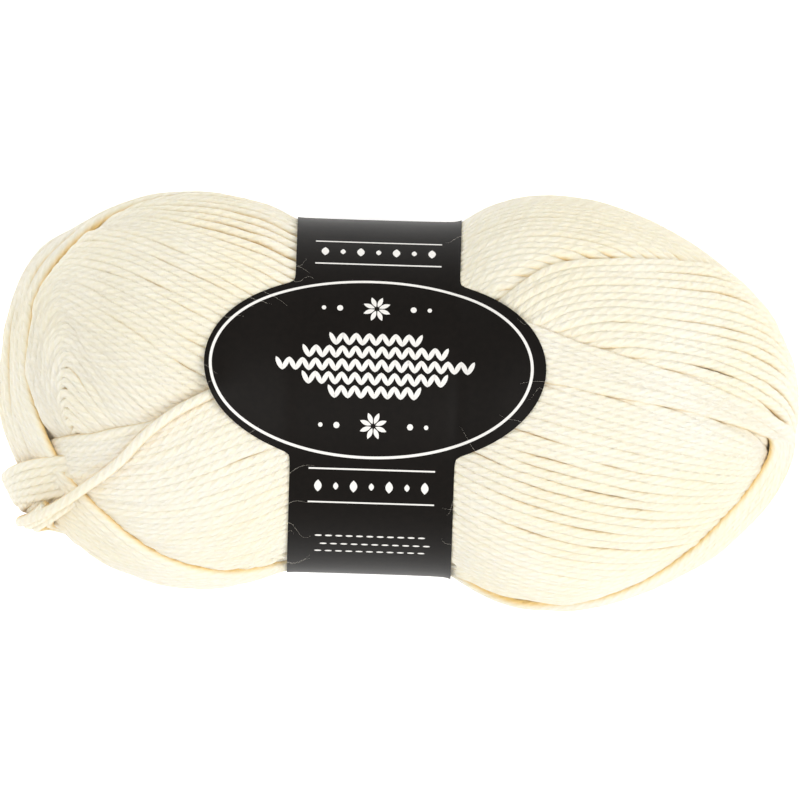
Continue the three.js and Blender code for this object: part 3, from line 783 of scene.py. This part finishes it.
def printed(along, around):
    """Closed strips of ink from outlines [shape, place along, 2 edges], in millimetres on the card."""
    x, angle = BAND["centre"] + along, MEDALLION["middle"] + np.degrees(around / ROUND_RADIUS)
    face, back = (on_paper(x, angle, INK_FACE + lift) for lift in (INK_HEIGHT, -INK_DEPTH))
    return np.concatenate([face, back[:, :, ::-1]], axis=2)


def marks(rows):
    """Outlines of marks from rows of (along, around, turn, length, width, blunt).

    Half-width at a share s of the length is width / 2 times (4 s (1 - s)) ** blunt.
    """
    along, around, turn, length, width, blunt = np.array(rows, float).T[:, :, None, None]
    share = np.linspace(0, 1, 9)[None, :, None]
    half = width / 2 * np.maximum(4 * share * (1 - share), 1e-6) ** blunt * np.array([1, -1])
    forward, turn = (share - 0.5) * length, np.radians(turn)
    return (along + forward * np.cos(turn) - half * np.sin(turn),
            around + forward * np.sin(turn) + half * np.cos(turn))


mark_rows = []
for row, count in STITCHES_IN_ROW.items():
    for column in range(count):
        for lean in (-1, 1):
            mark_rows.append((
                (column - (count - 1) / 2) * STITCH["across"] + lean * STITCH["apart"], row * STITCH["down"],
                90 - lean * STITCH["lean"], STITCH["length"], STITCH["width"], LEAF))
for around in STAR["around"]:
    for petal in range(STAR["petals"]):
        turn = (petal + 0.5) * 360 / STAR["petals"]
        mark_rows.append((
            STAR["reach"] * np.cos(np.radians(turn)), around + STAR["reach"] * np.sin(np.radians(turn)),
            turn, STAR["length"], STAR["width"], POINTED))
    mark_rows += [(along, around, 0, size, size, ROUND) for along, size in STAR_DOTS.items()]
for around in DIAMONDS["around"]:
    mark_rows += [(place * DIAMONDS["apart"], around, 90, *DIAMONDS["sizes"][place % 2], POINTED)
                  for place in range(-3, 4)]
for around, offset in DASHES["rows"]:
    mark_rows += [(place * DASHES["apart"] + offset, around, 0, DASHES["length"], DASHES["width"], ROUND)
                  for place in range(-5, 6)]
mark_rows += [(0, around, 0, RULES["length"], RULES["width"], SQUARE) for around in RULES["around"]]
turn = np.linspace(0, 2 * np.pi, 360, endpoint=False)[None, :, None]
widths = np.array([0.5, -0.5]) * KEYLINE["width"]
ring = printed(
    KEYLINE["middle"] + (KEYLINE["half_length"] + widths) * np.cos(turn),
    (np.radians(KEYLINE["half_angle"]) * ROUND_RADIUS + widths) * np.sin(turn))
points, quads, triangles = joined(closed_grids(printed(*marks(mark_rows))), closed_grids(ring, looped=True))
# White screen ink: opaque and matt, thin enough to show the card's mottle.
white_ink = speckled("white_screen_ink", ("#dcd9d3", "#f6f4ef"), 2500.0, 2.0, Roughness=0.6)
ink = make_mesh("band_print", points, quads[:, ::-1], triangles[:, ::-1], [white_ink], smooth=False)
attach(ink, "root")

# ------------------------------------------------
# The nap: single wool fibres that stand off the strands, with their other ends spun into the
# plies, and a few that stray over the band.
# ------------------------------------------------
FIBRE_RADIUS = 0.02
FIBRE_COUNT = 6000
SHORTEST_FIBRE, LONGEST_FIBRE = 0.7, 3.4
FIBRE_LEAN = 75                     # degrees at most from straight out, to a strand's sides
FIBRE_RISE = (5, 60)                # degrees from the strand's own direction
FIBRE_GAP = 1.2                     # that the card's edge is left free of them
STRAY_COUNT = 26
STRAY_LENGTH = (1.0, 4.5)           # over the card, beyond its edge


def fibre_tubes(lines, radius):
    """Three-sided tubes along [fibre, point, 3] lines, each tapering to a quarter at its tip."""
    forward = unit(np.gradient(lines, axis=1))
    across = unit(np.cross(forward, np.array([0.31, 0.52, 0.79])))
    outward = np.cross(across, forward)
    angle = np.arange(3) * 2 * np.pi / 3
    taper = radius * np.linspace(1, 0.25, lines.shape[1])[None, :, None, None]
    ring = across[:, :, None] * np.cos(angle)[:, None] + outward[:, :, None] * np.sin(angle)[:, None]
    return lines[:, :, None] + ring[:, :, ::-1] * taper


# From a place on a strand's outside, a fibre leaves within a cone about the strand's own
# direction, and bends back and sideways: point = start + d s + bend s squared.
beyond = beyond_paper(outer_places[:, 0, 0], direction_at(outer_places[:, 0]))
outer_places = outer_places[beyond > FIBRE_GAP]
seeds = outer_places[rng.choice(len(outer_places), FIBRE_COUNT, replace=False)]
start, normal, forward = seeds[:, 0], seeds[:, 1], seeds[:, 2]
across = unit(np.cross(forward, normal))
lean = np.radians(rng.uniform(-FIBRE_LEAN, FIBRE_LEAN, FIBRE_COUNT))[:, None]
away = normal * np.cos(lean) + across * np.sin(lean)
rise = np.radians(rng.uniform(*FIBRE_RISE, FIBRE_COUNT))[:, None]
leaving = forward * np.cos(rise) * rng.choice([-1, 1], FIBRE_COUNT)[:, None] + away * np.sin(rise)
bend = -0.25 * away + 0.22 * rng.normal(size=(FIBRE_COUNT, 3))
length = np.minimum(SHORTEST_FIBRE + rng.gamma(2.0, 0.55, FIBRE_COUNT), LONGEST_FIBRE)
distance = np.linspace(0, 1, 5)[None, :, None] * length[:, None, None]
start = start + away * 0.93 * YARN_RADIUS
fibre_lines = start[:, None] + leaving[:, None] * distance + bend[:, None] * distance ** 2
# A stray starts FIBRE_GAP outside the card's edge, and curls as it comes in over the card.
stray_side = rng.choice([-1, 1], STRAY_COUNT)[:, None]
stray_angle = rng.uniform(-70, 70, STRAY_COUNT)[:, None]
share = np.linspace(0, 1, 9)[None, :]
reach = rng.uniform(*STRAY_LENGTH, STRAY_COUNT)[:, None]
slant = rng.normal(0, 3.5, STRAY_COUNT)[:, None]
curl = rng.normal(0, 2.0, STRAY_COUNT)[:, None] * np.sin(share * rng.uniform(2, 7, STRAY_COUNT)[:, None])
inwards = share * (reach + FIBRE_GAP) - FIBRE_GAP
stray_x = (BAND["centre"] + stray_side * paper_half_width(stray_angle)) - stray_side * inwards
stray_lift = INK_FACE + 0.05 + 0.5 * np.sin(np.pi * share) * rng.random((STRAY_COUNT, 1))
stray_lines = on_paper(stray_x, stray_angle + slant * share + curl, stray_lift)
fibres = joined(closed_grids(fibre_tubes(fibre_lines, FIBRE_RADIUS)),
                closed_grids(fibre_tubes(stray_lines, 0.7 * FIBRE_RADIUS)))
# Single wool fibres: pale, and faintly lustrous.
loose_wool = speckled("loose_wool_fibre", ("#f4ead0", "#fffaf0"), 250.0, 1.0,
                      Roughness=0.7, Sheen_Weight=0.3, Specular_IOR_Level=0.3)
nap = make_mesh("wool_nap", *fibres, [loose_wool])
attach(nap, "root")

# ------------------------------------------------
# The studio: a white table, a bright even room and two large soft boxes, and a camera that
# looks straight down from 4 m with a long lens.
# ------------------------------------------------
TABLE_REACH = 3000
ROOM_LIGHT = 0.69
CAMERA_HEIGHT = 4.0                 # metres over the ball's axis
FRAME_WIDTH = 0.140                 # metres that it sees at that distance
CAMERA_PLACE = (0.00071, 0.00015)   # metres along and across the ball
CAMERA_ROLL = 1.8                   # degrees

# Matt white laminate, lit from below, with a grain too faint to break the even ground.
laminate = speckled("white_laminate", ("#fbfbfa", "#ffffff"), 300.0, 2.0,
                    Roughness=0.7, Emission_Color=(1.0, 1.0, 1.0, 1.0), Emission_Strength=0.5)
corners = np.array([[-1.0, -1.0, 0.0], [1.0, -1.0, 0.0], [1.0, 1.0, 0.0], [-1.0, 1.0, 0.0]]) * TABLE_REACH
floor = make_mesh("table", corners - CENTRING, [[0, 1, 2, 3]], materials=[laminate])

world = bpy.data.worlds.new("bright_room")
bpy.context.scene.world = world
world.use_nodes = True
background = world.node_tree.nodes["Background"]
background.inputs["Color"].default_value = (1.0, 1.0, 1.0, 1.0)
background.inputs["Strength"].default_value = ROOM_LIGHT


def soft_lamp(name, place, size, power):
    """A square soft box, in metres and watts, that faces the ball's middle."""
    light = bpy.data.lights.new(name, "AREA")
    light.shape, light.size, light.energy = "SQUARE", size, power
    lamp = bpy.data.objects.new(name, light)
    lamp.location = place
    lamp.rotation_euler = (Vector((0, 0, 0.03)) - Vector(place)).to_track_quat("-Z", "Y").to_euler()
    bpy.context.scene.collection.objects.link(lamp)


soft_lamp("right_soft_box", (1.1, -0.2, 1.1), 1.0, 10)
soft_lamp("left_soft_box", (-0.5, -0.2, 1.4), 1.0, 7.8)

view = bpy.data.cameras.new("overhead_camera")
view.angle = 2 * np.arctan(FRAME_WIDTH / 2 / CAMERA_HEIGHT)
view.clip_start, view.clip_end = 0.1, 40
camera = bpy.data.objects.new("overhead_camera", view)
camera.location = (*CAMERA_PLACE, AXIS_HEIGHT * 0.001 + CAMERA_HEIGHT)
camera.rotation_euler = (0, 0, float(np.radians(CAMERA_ROLL)))
bpy.context.scene.collection.objects.link(camera)
bpy.context.scene.camera = camera
bpy.context.scene.view_settings.view_transform = "Standard"
